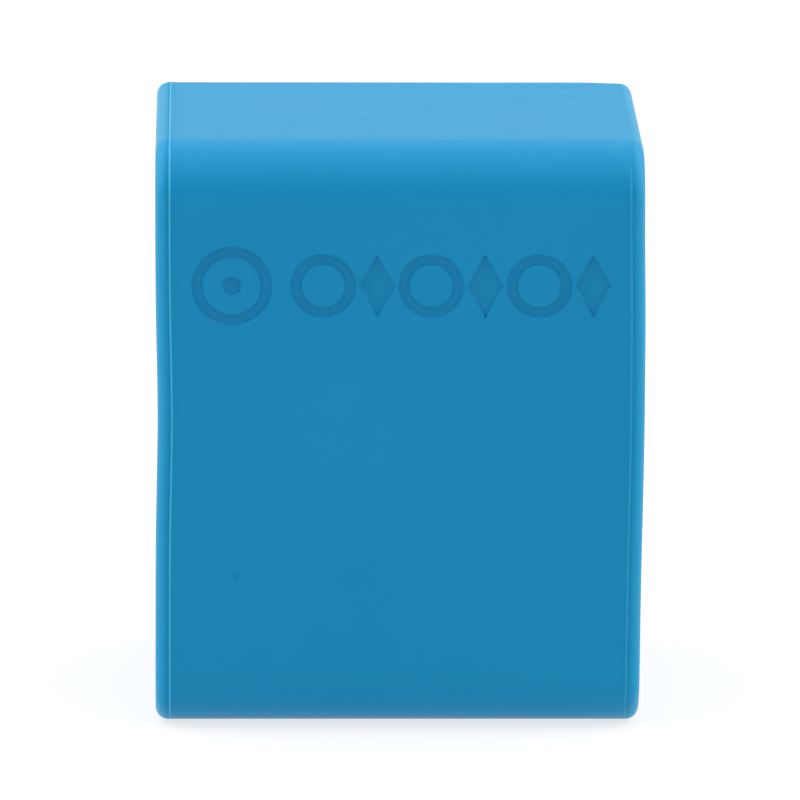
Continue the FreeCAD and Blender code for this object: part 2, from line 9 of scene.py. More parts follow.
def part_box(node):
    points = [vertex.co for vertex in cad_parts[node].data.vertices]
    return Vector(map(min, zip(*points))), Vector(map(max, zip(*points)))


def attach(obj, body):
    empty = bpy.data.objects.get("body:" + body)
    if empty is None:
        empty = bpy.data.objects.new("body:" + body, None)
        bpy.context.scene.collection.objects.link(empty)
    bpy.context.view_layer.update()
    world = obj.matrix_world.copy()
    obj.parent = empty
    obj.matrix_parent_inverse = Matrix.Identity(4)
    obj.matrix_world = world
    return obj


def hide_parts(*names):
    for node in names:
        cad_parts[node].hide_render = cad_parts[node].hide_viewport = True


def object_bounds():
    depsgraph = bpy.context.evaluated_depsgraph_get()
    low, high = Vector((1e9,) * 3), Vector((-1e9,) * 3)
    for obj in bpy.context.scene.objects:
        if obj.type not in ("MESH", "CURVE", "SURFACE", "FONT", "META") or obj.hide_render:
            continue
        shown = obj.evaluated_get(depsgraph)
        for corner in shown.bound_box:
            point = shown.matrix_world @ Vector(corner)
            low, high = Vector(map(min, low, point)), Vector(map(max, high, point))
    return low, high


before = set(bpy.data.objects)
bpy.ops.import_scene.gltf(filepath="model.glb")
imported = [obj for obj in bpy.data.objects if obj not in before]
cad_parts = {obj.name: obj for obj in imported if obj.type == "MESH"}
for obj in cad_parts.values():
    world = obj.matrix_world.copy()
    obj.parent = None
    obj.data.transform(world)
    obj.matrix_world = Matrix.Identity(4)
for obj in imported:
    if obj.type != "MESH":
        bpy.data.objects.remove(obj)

# A pocket case for cue chalk: a blue moulded tube closed by a screwed cap at the left and by the front
# of a drawer at the right. The drawer carries the chalk. The sizes below are in millimetres, and the
# places come from the CAD nodes' boxes.

CAD_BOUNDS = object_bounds()
MM = 0.001


def box_mm(node):
    """The low and high corners of a CAD node's box."""
    low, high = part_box(node)
    return np.array(low) / MM, np.array(high) / MM


FRONT_LOW, FRONT_HIGH = box_mm("drawer_front")
SEAL_LOW, SEAL_HIGH = box_mm("dust_seal")
CHALK_LOW, CHALK_HIGH = box_mm("chalk_cube")
LABEL_LOW, LABEL_HIGH = box_mm("chalk_label")
PAD_LOW, PAD_HIGH = box_mm("adhesive_pad")

DEPTH = FRONT_HIGH[1] - FRONT_LOW[1]
HEIGHT = FRONT_HIGH[2]
TUBE_END = box_mm("case_sleeve")[1][0]
CASE_END = FRONT_HIGH[0]
PLUG_END = FRONT_LOW[0]

# The tube and the two end pieces. An inset is a distance inwards from the case's outline.
EDGE_ROUND = 4.1
WALL = 1.5
BEAD_HEIGHT = 0.08
BEAD_WIDTH = 0.16
BEAD_RUNOUT = 1.9 * BEAD_WIDTH
MOUTH_CHAMFER = 0.12
CAP_INSET = WALL + 0.08
FRONT_INSET = WALL + 0.15
GROOVE_INSET = WALL + 0.95
CORED_LEVEL = 11.0
CORED_RIM = 1.6
CORED_DEPTH = 1.8
GRIP_LEVEL = 29.0
GRIP_HALF_SPAN = 3.0
GRIP_RADIUS = 3.5
GRIP_LIP = 1.0
GRIP_UNDERCUT = 0.9
GRIP_DEPTH = 2.2

# The sunk mark: a large ring with a dot, then three small rings, each followed by a lozenge.
MARK_DEPTH = 0.26
MARK_LEVEL = 33.9
MARK_ALONG = (-15.6, 15.7)
MARK_UP = (30.7, 37.1)
MARK_GRID = 0.096
MARK_PITCH = 7.93
SPOT_X = -12.4
SPOT_RADIUS = 2.95
DOT_RADIUS = 0.7
BALL_X = -5.7
BALL_RADIUS = 2.4
LOZENGE_HALF = (1.35, 2.4)
STROKE = 0.82

# The countersunk screws.
HEAD_RADIUS = 1.9
HEAD_HEIGHT = 0.9
SCREW_RADIUS = 1.0
SCREW_HOLE = 1.05
SOCKET_RADIUS = 0.55
SOCKET_DEPTH = 0.6
THREAD_PITCH = 0.45
THREAD_DEPTH = 0.2
SCREW_SIDES = 48

# The chalk and its paper.
DISH_BALL = 10.5
DISH_DEPTH = 2.6
PAPER = 0.13


# ---------------------------------------------------------------- the case's outline

PITS = (  # x, z, radius, depth: two small bubbles in the moulding
    (-12.0, 11.9, 0.21, 0.14), (9.0, 11.3, 0.15, 0.11),
)


def spread(start, end, step, tight=True):
    """Places from start to end, without the end. A tight run has extra places close to both ends."""
    count = max(2, int(round(abs(end - start) / step)))
    places = list(np.linspace(start, end, count + 1))[:-1]
    if tight:
        small = 0.06 * np.sign(end - start)
        places = [places[0], places[0] + small] + places[1:] + [end - small]
    return places


def outline(fine):
    """Points (y, z) right round the case seen along X, and the outward normals there. The run up the
    marked face comes first. With fine it is dense where the mark and the bubbles are."""
    half, r, top = DEPTH / 2, EDGE_ROUND, HEIGHT
    if fine:
        low, high = MARK_UP
        rise = spread(r, low, 1.5) + spread(low, high, MARK_GRID, tight=False) + spread(high, top - r, 1.0)
        for _x, z, radius, _depth in PITS:
            rise += list(np.arange(z - 1.8 * radius, z + 1.8 * radius, max(radius / 3, 0.07)))
        rise = sorted(set(np.round(rise, 3)))
    else:
        rise = spread(r, top - r, 2.4)
    points = [(-half, z) for z in rise]
    normals = [(-1.0, 0.0)] * len(points)

    def turn(y, z, start):
        for angle in np.radians(np.linspace(start, start - 90, 23)[:-1]):
            points.append((y + r * math.cos(angle), z + r * math.sin(angle)))
            normals.append((math.cos(angle), math.sin(angle)))

    def run(places, normal, along_y, level):
        for place in places:
            points.append((place, level) if along_y else (level, place))
            normals.append(normal)

    turn(-half + r, top - r, 180)
    run(spread(-half + r, half - r, 1.7), (0.0, 1.0), True, top)
    turn(half - r, top - r, 90)
    run(spread(top - r, r, 2.4), (1.0, 0.0), False, half)
    turn(half - r, r, 0)
    run(spread(half - r, -half + r, 2.5), (0.0, -1.0), True, 0.0)
    turn(-half + r, r, -90)
    return np.array(points), np.array(normals)


def ripple(a, b, seed):
    """Slow smooth unevenness between about -1 and 1."""
    total = 0.0
    for k, (fa, fb) in enumerate(((0.11, 0.17), (0.23, -0.13), (-0.19, 0.31), (0.41, 0.29), (0.53, -0.47))):
        total = total + np.sin(fa * a + fb * b + seed * (k + 1.7)) / (1.0 + 0.55 * k)
    return total / 2.2


def dip(z, deepest, level, reach):
    """A smooth hollow in a wall, deepest at one level."""
    return deepest * np.exp(-((z - level) / reach) ** 2)


def warp(x, z):
    """How far the end walls have drawn towards +X after moulding: the left one in, the right one out."""
    left = dip(z, 0.165, 23.8, 6.8)
    right = dip(z, 0.17, 24.0, 11.0) + dip(z, 0.04, 32.0, 4.0)
    share = np.clip(x / (2 * CASE_END) + 0.5, 0, 1)
    return left * (1 - share) + right * share


def smooth_step(low, high, t):
    """0 at low and beyond, 1 at high and beyond. low may be the larger."""
    u = np.clip((t - low) / (high - low), 0, 1)
    return u * u * (3 - 2 * u)


def mark_depth(x, z):
    """How far below the marked face the surface lies: the sunk row of rings and lozenges."""
    up = z - MARK_LEVEL
    far_off = 9.0
    gap = np.full(np.broadcast(x, z).shape, far_off)

    def ring(centre, radius):
        middle = radius - STROKE / 2
        return np.abs(np.hypot(x - centre, up) - middle) - STROKE / 2

    gap = np.minimum(gap, ring(SPOT_X, SPOT_RADIUS))
    gap = np.minimum(gap, np.hypot(x - SPOT_X, up) - DOT_RADIUS)
    for i in range(3):
        centre = BALL_X + i * MARK_PITCH
        gap = np.minimum(gap, ring(centre, BALL_RADIUS))
        a, b = LOZENGE_HALF
        to_distance = a * b / math.hypot(a, b)
        lozenge = (np.abs(x - centre - MARK_PITCH / 2) / a + np.abs(up) / b - 1) * to_distance
        gap = np.minimum(gap, lozenge)
    sunk = MARK_DEPTH * (1 - smooth_step(-0.12, 0.07, gap))
    lip = 0.014 * np.exp(-((gap - 0.17) / 0.10) ** 2)
    return sunk - lip


# ---------------------------------------------------------------- meshes

def new_mesh(name, points_mm, faces, body=None):
    """A smooth-shaded mesh object, on a body if one is named."""
    mesh = bpy.data.meshes.new(name)
    mesh.from_pydata((np.asarray(points_mm) * MM).tolist(), [], faces)
    mesh.validate()
    mesh.update()
    mesh.shade_smooth()
    obj = bpy.data.objects.new(name, mesh)
    bpy.context.scene.collection.objects.link(obj)
    if body:
        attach(obj, body)
    return obj


def face_out(obj):
    """Turn all faces of a closed mesh outwards."""
    shape = bmesh.new()
    shape.from_mesh(obj.data)
    bmesh.ops.recalc_face_normals(shape, faces=shape.faces)
    shape.to_mesh(obj.data)
    shape.free()


def grid_faces(rings, count, first=0, closed=False):
    """Quads between neighbouring rings of count points each."""
    faces = []
    last = rings if closed else rings - 1
    for i in range(last):
        a, b = first + i * count, first + ((i + 1) % rings) * count
        for j in range(count):
            k = (j + 1) % count
            faces.append((a + j, b + j, b + k, a + k))
    return faces


def loft(stations, points, normals):
    """Rings of the outline at (x, inset) stations. An inset is a number or one number per point."""
    rings = []
    for x, inset in stations:
        flat = points - normals * np.reshape(np.broadcast_to(inset, len(points)), (-1, 1))
        rings.append(np.column_stack([np.full(len(points), x), flat]))
    return np.concatenate(rings)


def warped(points_mm):
    """The points of a moulded piece after it has drawn in and sunk."""
    points_mm = np.array(points_mm)
    points_mm[:, 0] += warp(points_mm[:, 0], points_mm[:, 2])
    # The upper right corner of the moulding has sunk a little.
    corner = smooth_step(14.0, 18.0, points_mm[:, 0]) * smooth_step(38.0, 44.0, points_mm[:, 2])
    points_mm[:, 2] -= 0.09 * corner
    return points_mm


def paint(obj, name, values):
    """A number per vertex that the material reads."""
    attribute = obj.data.attributes.new(name, "FLOAT", "POINT")
    attribute.data.foreach_set("value", np.asarray(values, np.float32))


def carve(obj, cutter):
    """Cut a closed solid out of obj and forget the cutter."""
    cut = obj.modifiers.new("cut", "BOOLEAN")
    cut.operation = "DIFFERENCE"
    cut.solver = "EXACT"
    cut.object = cutter
    apply_modifiers(obj)
    bpy.data.objects.remove(cutter)


def apply_modifiers(obj):
    """Replace the mesh by what its modifiers make of it."""
    bpy.context.view_layer.update()
    graph = bpy.context.evaluated_depsgraph_get()
    made = bpy.data.meshes.new_from_object(obj.evaluated_get(graph))
    obj.modifiers.clear()
    old = obj.data
    obj.data = made
    made.name = obj.name
    bpy.data.meshes.remove(old)


def sharpen(obj, degrees):
    """Smooth shading that breaks at edges sharper than the given angle."""
    mesh = obj.data
    mesh.shade_smooth()
    shape = bmesh.new()
    shape.from_mesh(mesh)
    for edge in shape.edges:
        edge.smooth = not edge.is_manifold or edge.calc_face_angle(0) < math.radians(degrees)
    shape.to_mesh(mesh)
    shape.free()
    mesh.update()


def even_out(obj):
    """Let the large flat faces set the shading, so that small rounds don't cast streaks over them."""
    weighted = obj.modifiers.new("normals", "WEIGHTED_NORMAL")
    weighted.mode = "FACE_AREA"
    weighted.weight = 80
    weighted.keep_sharp = True
    apply_modifiers(obj)


def sliced(obj, step):
    """Level cuts through all faces, so that a face can follow the warp."""
    shape = bmesh.new()
    shape.from_mesh(obj.data)
    for level in np.arange(step, HEIGHT, step):
        everything = shape.verts[:] + shape.edges[:] + shape.faces[:]
        place = (0, 0, level * MM)
        bmesh.ops.bisect_plane(shape, geom=everything, dist=1e-8, plane_co=place, plane_no=(0, 0, 1))
    shape.to_mesh(obj.data)
    shape.free()
    obj.data.update()


def softened(node, body, width, segments=2):
    """A copy of a CAD node with its hard edges broken, as moulded and machined edges are."""
    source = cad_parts[node]
    obj = bpy.data.objects.new(node + "_skin", source.data.copy())
    bpy.context.scene.collection.objects.link(obj)
    obj.data.materials.clear()
    shape = bmesh.new()
    shape.from_mesh(obj.data)
    bmesh.ops.remove_doubles(shape, verts=shape.verts, dist=1e-6)
    bmesh.ops.dissolve_limit(shape, angle_limit=math.radians(0.6), verts=shape.verts, edges=shape.edges)
    shape.to_mesh(obj.data)
    shape.free()
    bevel = obj.modifiers.new("edges", "BEVEL")
    bevel.width = width * MM
    bevel.segments = segments
    bevel.limit_method = "ANGLE"
    bevel.angle_limit = math.radians(25)
    bevel.use_clamp_overlap = True
    bevel.harden_normals = False
    apply_modifiers(obj)
    sharpen(obj, 35)
    even_out(obj)
    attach(obj, body)
    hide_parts(node)
    return obj


def stadium(half_span, radius, level):
    """Points (y, z) round a slot with round ends."""
    angles = np.radians(np.linspace(90, 270, 28))
    left = np.column_stack([-half_span + radius * np.cos(angles), level + radius * np.sin(angles)])
    right = np.column_stack([half_span - radius * np.cos(angles), level - radius * np.sin(angles)])
    return np.concatenate([left, right])


def tube_of(rings, name):
    """A closed solid through rings of (x, y, z) points, with a flat face at each end."""
    count = len(rings[0])
    faces = grid_faces(len(rings), count)
    faces.append(tuple(range(count - 1, -1, -1)))
    faces.append(tuple(range((len(rings) - 1) * count, len(rings) * count)))
    obj = new_mesh(name, np.concatenate(rings), faces)
    face_out(obj)
    return obj


def round_cutter(name, stations, y, z):
    """A turned cutter along X through (x, radius) stations, centred on (y, z)."""
    count = 40
    angles = np.linspace(0, 2 * math.pi, count, endpoint=False)
    rings = []
    for x, radius in stations:
        across, up = y + radius * np.cos(angles), z + radius * np.sin(angles)
        rings.append(np.column_stack([np.full(count, x), across, up]))
    return tube_of(rings, name)


# ---------------------------------------------------------------- material helpers

class Look:
    """A node material built up in steps. Coordinates are the object's own, in millimetres."""

    def __init__(self, name):
        self.material = bpy.data.materials.new(name)
        self.material.use_nodes = True
        self.tree = self.material.node_tree
        self.shader = self.tree.nodes["Principled BSDF"]
        coordinates = self.node("ShaderNodeTexCoord")
        scale = self.node("ShaderNodeVectorMath", operation="SCALE")
        scale.inputs["Scale"].default_value = 1 / MM
        self.link(coordinates.outputs["Object"], scale.inputs[0])
        self.place = scale.outputs[0]
        self.relief = None

    def node(self, kind, **settings):
        made = self.tree.nodes.new(kind)
        for key, setting in settings.items():
            setattr(made, key, setting)
        return made

    def link(self, source, target):
        self.tree.links.new(source, target)

    def feed(self, target, source):
        """Link a socket, or set a plain value."""
        if isinstance(source, bpy.types.NodeSocket):
            self.link(source, target)
        else:
            target.default_value = source

    def stretched(self, x, y, z):
        """The place with each axis scaled: a small factor draws a pattern out along that axis."""
        made = self.node("ShaderNodeVectorMath", operation="MULTIPLY")
        made.inputs[1].default_value = (x, y, z)
        self.link(self.place, made.inputs[0])
        return made.outputs[0]

    def noise(self, scale, detail, roughness=0.5, place=None):
        made = self.node("ShaderNodeTexNoise")
        made.inputs["Scale"].default_value = scale
        made.inputs["Detail"].default_value = detail
        made.inputs["Roughness"].default_value = roughness
        self.link(place or self.place, made.inputs["Vector"])
        return made.outputs["Fac"]

    def cells(self, scale):
        """Distance to the nearest of many scattered points."""
        made = self.node("ShaderNodeTexVoronoi")
        made.inputs["Scale"].default_value = scale
        self.link(self.place, made.inputs["Vector"])
        return made.outputs["Distance"]

    def between(self, source, low, high, to_low=0.0, to_high=1.0, smooth=True):
        """Map low..high to to_low..to_high, and no further."""
        made = self.node("ShaderNodeMapRange")
        made.interpolation_type = "SMOOTHSTEP" if smooth else "LINEAR"
        made.inputs["From Min"].default_value = low
        made.inputs["From Max"].default_value = high
        made.inputs["To Min"].default_value = to_low
        made.inputs["To Max"].default_value = to_high
        self.link(source, made.inputs["Value"])
        return made.outputs["Result"]

    def maths(self, operation, a, b=0.0):
        made = self.node("ShaderNodeMath", operation=operation)
        self.feed(made.inputs[0], a)
        self.feed(made.inputs[1], b)
        return made.outputs[0]

    def mix(self, share, a, b):
        made = self.node("ShaderNodeMix", data_type="RGBA")
        self.feed(made.inputs[0], share)
        self.feed(made.inputs[6], a)
        self.feed(made.inputs[7], b)
        return made.outputs[2]

    def attribute(self, name):
        return self.node("ShaderNodeAttribute", attribute_name=name).outputs["Fac"]

    def facing_up(self):
        """1 where the surface faces up, -1 where it faces down."""
        made = self.node("ShaderNodeSeparateXYZ")
        self.link(self.node("ShaderNodeNewGeometry").outputs["Normal"], made.inputs[0])
        return made.outputs["Z"]

    def bump(self, height, distance_mm, strength):
        """Fine surface grain. Several bumps add up."""
        made = self.node("ShaderNodeBump")
        made.inputs["Strength"].default_value = strength
        made.inputs["Distance"].default_value = distance_mm * MM
        self.link(height, made.inputs["Height"])
        if self.relief:
            self.link(self.relief, made.inputs["Normal"])
        self.relief = made.outputs["Normal"]

    def finish(self, colour, roughness, **plain):
        self.feed(self.shader.inputs["Base Color"], colour)
        self.feed(self.shader.inputs["Roughness"], roughness)
        for name, number in plain.items():
            self.shader.inputs[name.replace("_", " ")].default_value = number
        if self.relief:
            self.link(self.relief, self.shader.inputs["Normal"])
        return self.material


def rgb(r, g, b):
    return (r, g, b, 1.0)


CHALK_DUST = rgb(0.09, 0.24, 0.52)


def satin_blue(name, dusty):
    """The moulded blue plastic, with painted light: a painted highlight, with some real paler flash, on the
    raised lines round the mouths, a painted highlight on the side rounds of the end pieces and painted
    shade in the sunk mark. The dusty kind is the inside, where chalk powder settles.
    """
    look = Look(name)
    cloud = look.noise(0.09, 3.0)
    streak = look.noise(0.16, 3.0, place=look.stretched(0.35, 1.0, 1.0))
    colour = look.mix(look.between(cloud, 0.3, 0.7), rgb(0.0, 0.218, 0.440), rgb(0.0005, 0.224, 0.449))
    colour = look.mix(look.between(streak, 0.52, 0.75, 0.0, 0.35), colour, rgb(0.001, 0.231, 0.459))
    uneven = look.between(look.noise(1.1, 2.0), 0.25, 0.6, 0.75, 1.0)
    # Paler flash plus a painted highlight on the raised lines, and a painted highlight on the side rounds
    # of the end pieces.
    pale_and_highlight = look.maths("MULTIPLY", look.attribute("pale_and_highlight"), uneven)
    colour = look.mix(pale_and_highlight, colour, rgb(0.045, 0.46, 0.72))
    # Painted shade: the sunk mark is drawn darker in its recess.
    sunk = look.attribute("sunk")
    colour = look.mix(look.maths("MULTIPLY", sunk, 0.5), colour, rgb(0.0, 0.196, 0.415))
    grain = look.noise(7.0, 2.0)
    rubbed = look.between(look.noise(2.2, 4.0, 0.62, place=look.stretched(0.18, 1.0, 1.0)), 0.58, 0.72)
    rough = look.maths("ADD", look.between(look.noise(0.5, 2.0), 0.2, 0.8, 0.44, 0.50, smooth=False),
                       look.maths("MULTIPLY", rubbed, 0.05))
    look.bump(look.noise(0.33, 1.0), 0.05, 0.35)
    look.bump(grain, 0.004, 0.55)
    look.bump(look.between(look.cells(3.1), 0.0, 0.07, 0.0, 1.0), 0.01, 0.35)
    if dusty:
        powder = look.maths("MULTIPLY", look.between(look.noise(0.2, 3.0), 0.34, 0.66),
                            look.between(look.noise(4.0, 6.0, 0.72), 0.38, 0.66))
        low = look.between(look.facing_up(), -0.2, 0.9, 0.12, 0.75)
        share = look.maths("MULTIPLY", powder, low)
        colour = look.mix(share, colour, CHALK_DUST)
        rough = look.maths("ADD", rough, look.maths("MULTIPLY", share, 0.45))
    return look.finish(colour, rough, Specular_IOR_Level=0.17,
                       Sheen_Weight=0.23, Sheen_Roughness=0.35, Sheen_Tint=rgb(0.66, 1.0, 0.94))


def dark_plastic(name, tone, dust):
    """Fine-grained moulded plastic. Chalk powder lies mostly on the faces that look up."""
    look = Look(name)
    colour = look.mix(look.noise(0.25, 3.0), rgb(*(t * 0.85 for t in tone)), rgb(*(t * 1.2 for t in tone)))
    powder = look.maths("MULTIPLY", look.between(look.noise(0.22, 3.0), 0.34, 0.66),
                        look.between(look.noise(4.0, 6.0, 0.72), 0.38, 0.66))
    up = look.between(look.facing_up(), -0.3, 0.9, 0.16, 1.0)
    share = look.maths("MULTIPLY", look.maths("MULTIPLY", powder, up), dust)
    colour = look.mix(share, colour, CHALK_DUST)
    rough = look.maths("ADD", look.between(look.noise(1.3, 3.0), 0.3, 0.7, 0.42, 0.55),
                       look.maths("MULTIPLY", share, 0.35))
    look.bump(look.cells(4.5), 0.012, 0.6)
    look.bump(look.noise(9.0, 3.0), 0.006, 0.5)
    return look.finish(colour, rough, Specular_IOR_Level=0.4)


def metal(name, tone, brushed, rough_low, rough_high, tint):
    """Plated or rolled metal with fine lines, tinted patches and a few dark specks."""
    look = Look(name)
    lines = look.noise(1.0, 4.0, 0.6, place=look.stretched(*brushed))
    patch = look.noise(0.5, 3.0)
    colour = look.mix(look.between(patch, 0.35, 0.7, 0.0, 0.6), rgb(*tone), rgb(*tint))
    spots = look.between(look.cells(1.7), 0.0, 0.10, 0.6, 0.0)
    colour = look.mix(spots, colour, rgb(*(t * 0.45 for t in tone)))
    rough = look.between(lines, 0.3, 0.7, rough_low, rough_high)
    look.bump(lines, 0.004, 0.6)
    look.bump(look.noise(3.0, 2.0), 0.004, 0.3)
    return look.finish(colour, rough, Metallic=1.0)


def rubber(name):
    """Black rubber with chalk powder stuck to it."""
    look = Look(name)
    colour = look.mix(look.noise(0.8, 4.0), rgb(0.012, 0.013, 0.014), rgb(0.03, 0.032, 0.035))
    powder = look.between(look.noise(1.6, 5.0, 0.66), 0.50, 0.72, 0.0, 0.55)
    colour = look.mix(powder, colour, CHALK_DUST)
    look.bump(look.noise(6.0, 3.0), 0.01, 0.5)
    rough = look.between(look.noise(2.0, 3.0), 0.3, 0.7, 0.62, 0.8)
    return look.finish(colour, rough, Specular_IOR_Level=0.3)


def foam(name):
    """Pale foam tape: fine holes, a little dirty."""
    look = Look(name)
    holes = look.cells(5.0)
    colour = look.mix(look.between(holes, 0.05, 0.5), rgb(0.55, 0.53, 0.47), rgb(0.82, 0.80, 0.73))
    dirt = look.between(look.noise(0.5, 5.0, 0.6), 0.5, 0.7, 0.0, 0.5)
    colour = look.mix(dirt, colour, CHALK_DUST)
    look.bump(holes, 0.05, 0.8)
    return look.finish(colour, 0.85, Specular_IOR_Level=0.2)


def chalk_powder(name):
    """Pressed powder: rubbed close and drawn darker in the dish, partly from rubbing and partly as painted
    shade; paler and grainy round it.
    """
    look = Look(name)
    tone = look.noise(0.5, 4.0, 0.6)
    colour = look.mix(look.between(tone, 0.3, 0.7), rgb(0.045, 0.185, 0.50), rgb(0.058, 0.212, 0.545))
    # The dish is drawn darker: partly rubbed chalk, partly painted shade in the hollow.
    dish_wear_and_shade = look.attribute("dish_wear_and_shade")
    streaks = look.between(look.noise(1.6, 4.0, 0.65), 0.3, 0.7, 0.7, 1.0)
    colour = look.mix(look.maths("MULTIPLY", dish_wear_and_shade, streaks), colour, rgb(0.018, 0.10, 0.36))
    loose = look.between(look.noise(9.0, 3.0, 0.8), 0.5, 0.72, 0.0, 0.45)
    colour = look.mix(loose, colour, rgb(0.16, 0.36, 0.66))
    colour = look.mix(look.between(look.cells(3.4), 0.0, 0.11, 0.5, 0.0), colour, rgb(0.30, 0.47, 0.70))
    colour = look.mix(look.between(look.cells(2.4), 0.0, 0.10, 0.65, 0.0), colour, rgb(0.012, 0.06, 0.24))
    look.bump(look.between(look.cells(2.4), 0.0, 0.16), 0.05, 0.8)
    look.bump(look.noise(7.0, 4.0, 0.7), 0.03, 0.7)
    look.bump(look.noise(18.0, 2.0, 0.7), 0.02, 0.8)
    return look.finish(colour, 0.95, Specular_IOR_Level=0.12)


def printed_paper(name):
    """Wordless wrapper: a deep blue field, a paler band with rings between two red lines, rubbed edges."""
    look = Look(name)
    colour = look.mix(look.noise(0.4, 4.0), rgb(0.012, 0.045, 0.20), rgb(0.02, 0.06, 0.25))
    up = look.attribute("rise")
    along = look.attribute("along")
    band_low, band_high, edge = 4.0, 16.0, 0.1
    over = look.between(up, band_low, band_low + edge, smooth=False)
    under = look.between(up, band_high - edge, band_high, 1.0, 0.0, smooth=False)
    colour = look.mix(look.maths("MULTIPLY", over, under), colour, rgb(0.66, 0.72, 0.78))

    def off(source, centre):
        return look.maths("ABSOLUTE", look.maths("SUBTRACT", source, centre))

    pitch, radius, stroke, dot = 5.625, 1.95, 0.33, 0.6
    turn = look.maths("MODULO", look.maths("ADD", along, pitch / 2), pitch)
    across = look.maths("SUBTRACT", turn, pitch / 2)
    level = look.maths("SUBTRACT", up, (band_low + band_high) / 2)
    away = look.maths("SQRT", look.maths("ADD", look.maths("MULTIPLY", across, across),
                                         look.maths("MULTIPLY", level, level)))
    rings = look.maths("MAXIMUM", look.maths("LESS_THAN", off(away, radius), stroke),
                       look.maths("LESS_THAN", away, dot))
    colour = look.mix(rings, colour, rgb(0.02, 0.10, 0.36))
    lower, upper, thickness = 5.1, 14.9, 0.17
    lines = look.maths("MAXIMUM", look.maths("LESS_THAN", off(up, lower), thickness),
                       look.maths("LESS_THAN", off(up, upper), thickness))
    colour = look.mix(lines, colour, rgb(0.45, 0.05, 0.04))
    patches = look.between(look.noise(1.4, 5.0, 0.7), 0.42, 0.6)
    rubbed = look.maths("MULTIPLY", look.attribute("rubbed"), patches)
    colour = look.mix(rubbed, colour, rgb(0.60, 0.60, 0.56))
    powder = look.between(look.noise(0.7, 6.0, 0.66), 0.5, 0.74, 0.0, 0.6)
    colour = look.mix(powder, colour, CHALK_DUST)
    look.bump(look.noise(0.5, 3.0), 0.06, 0.5)
    look.bump(look.noise(5.0, 5.0, 0.7, place=look.stretched(1.0, 1.0, 0.4)), 0.02, 0.6)
    rough = look.between(look.noise(1.0, 2.0), 0.3, 0.7, 0.5, 0.68)
    return look.finish(colour, rough, Specular_IOR_Level=0.3)


BLUE = satin_blue("satin_blue", False)
BLUE_INSIDE = satin_blue("satin_blue_inside", True)
TRAY = dark_plastic("tray_plastic", (0.028, 0.031, 0.037), 0.85)
BLOCK = dark_plastic("block_plastic", (0.055, 0.06, 0.066), 0.5)
ZINC = metal("zinc_steel", (0.56, 0.56, 0.57), (0.3, 6.0, 6.0), 0.24, 0.38, (0.50, 0.49, 0.44))
BAR = metal("rolled_steel", (0.42, 0.42, 0.42), (0.25, 5.0, 5.0), 0.28, 0.46, (0.33, 0.31, 0.29))
NICKEL = metal("nickel", (0.68, 0.66, 0.61), (1.2, 1.2, 4.0), 0.14, 0.24, (0.60, 0.57, 0.50))
RUBBER = rubber("seal_rubber")
FOAM = foam("foam_tape")
CHALK = chalk_powder("pressed_chalk")
PAPER_PRINT = printed_paper("printed_paper")


def cover(obj, material):
    """Give the piece its material."""
    obj.data.materials.clear()
    obj.data.materials.append(material)
    return obj


# ---------------------------------------------------------------- the blue tube

BEAD_PROFILE = (  # across the raised line in bead widths, height in bead heights
    (0.0, -0.35), (0.04, 0.15), (0.16, 0.62), (0.34, 0.93), (0.52, 1.0), (0.70, 0.93), (0.88, 0.62),
    (1.02, 0.22), (1.15, 0.05), (1.4, 0.0),
)
BEAD_STRENGTH = {-1: 1.0, 1: 0.7}
# How much paler each raised line is drawn: partly paler flash, partly a painted highlight, brighter on the
# left.
BEAD_PALE_AND_HIGHLIGHT = {-1: 0.75, 1: 0.3}


def stations_along():
    """Places along the tube between its two raised lines, dense at the mark and at the bubbles."""
    start, end = MARK_ALONG
    last = TUBE_END - BEAD_RUNOUT
    places = spread(-last, start, 0.5, tight=False)
    places += spread(start, end, MARK_GRID, tight=False)
    places += spread(end, last, 0.5, tight=False)
    places.append(last)
    for x, _z, radius, _depth in PITS:
        places += list(np.arange(x - 1.8 * radius, x + 1.8 * radius, 0.05) + 0.007)
    return sorted(places)


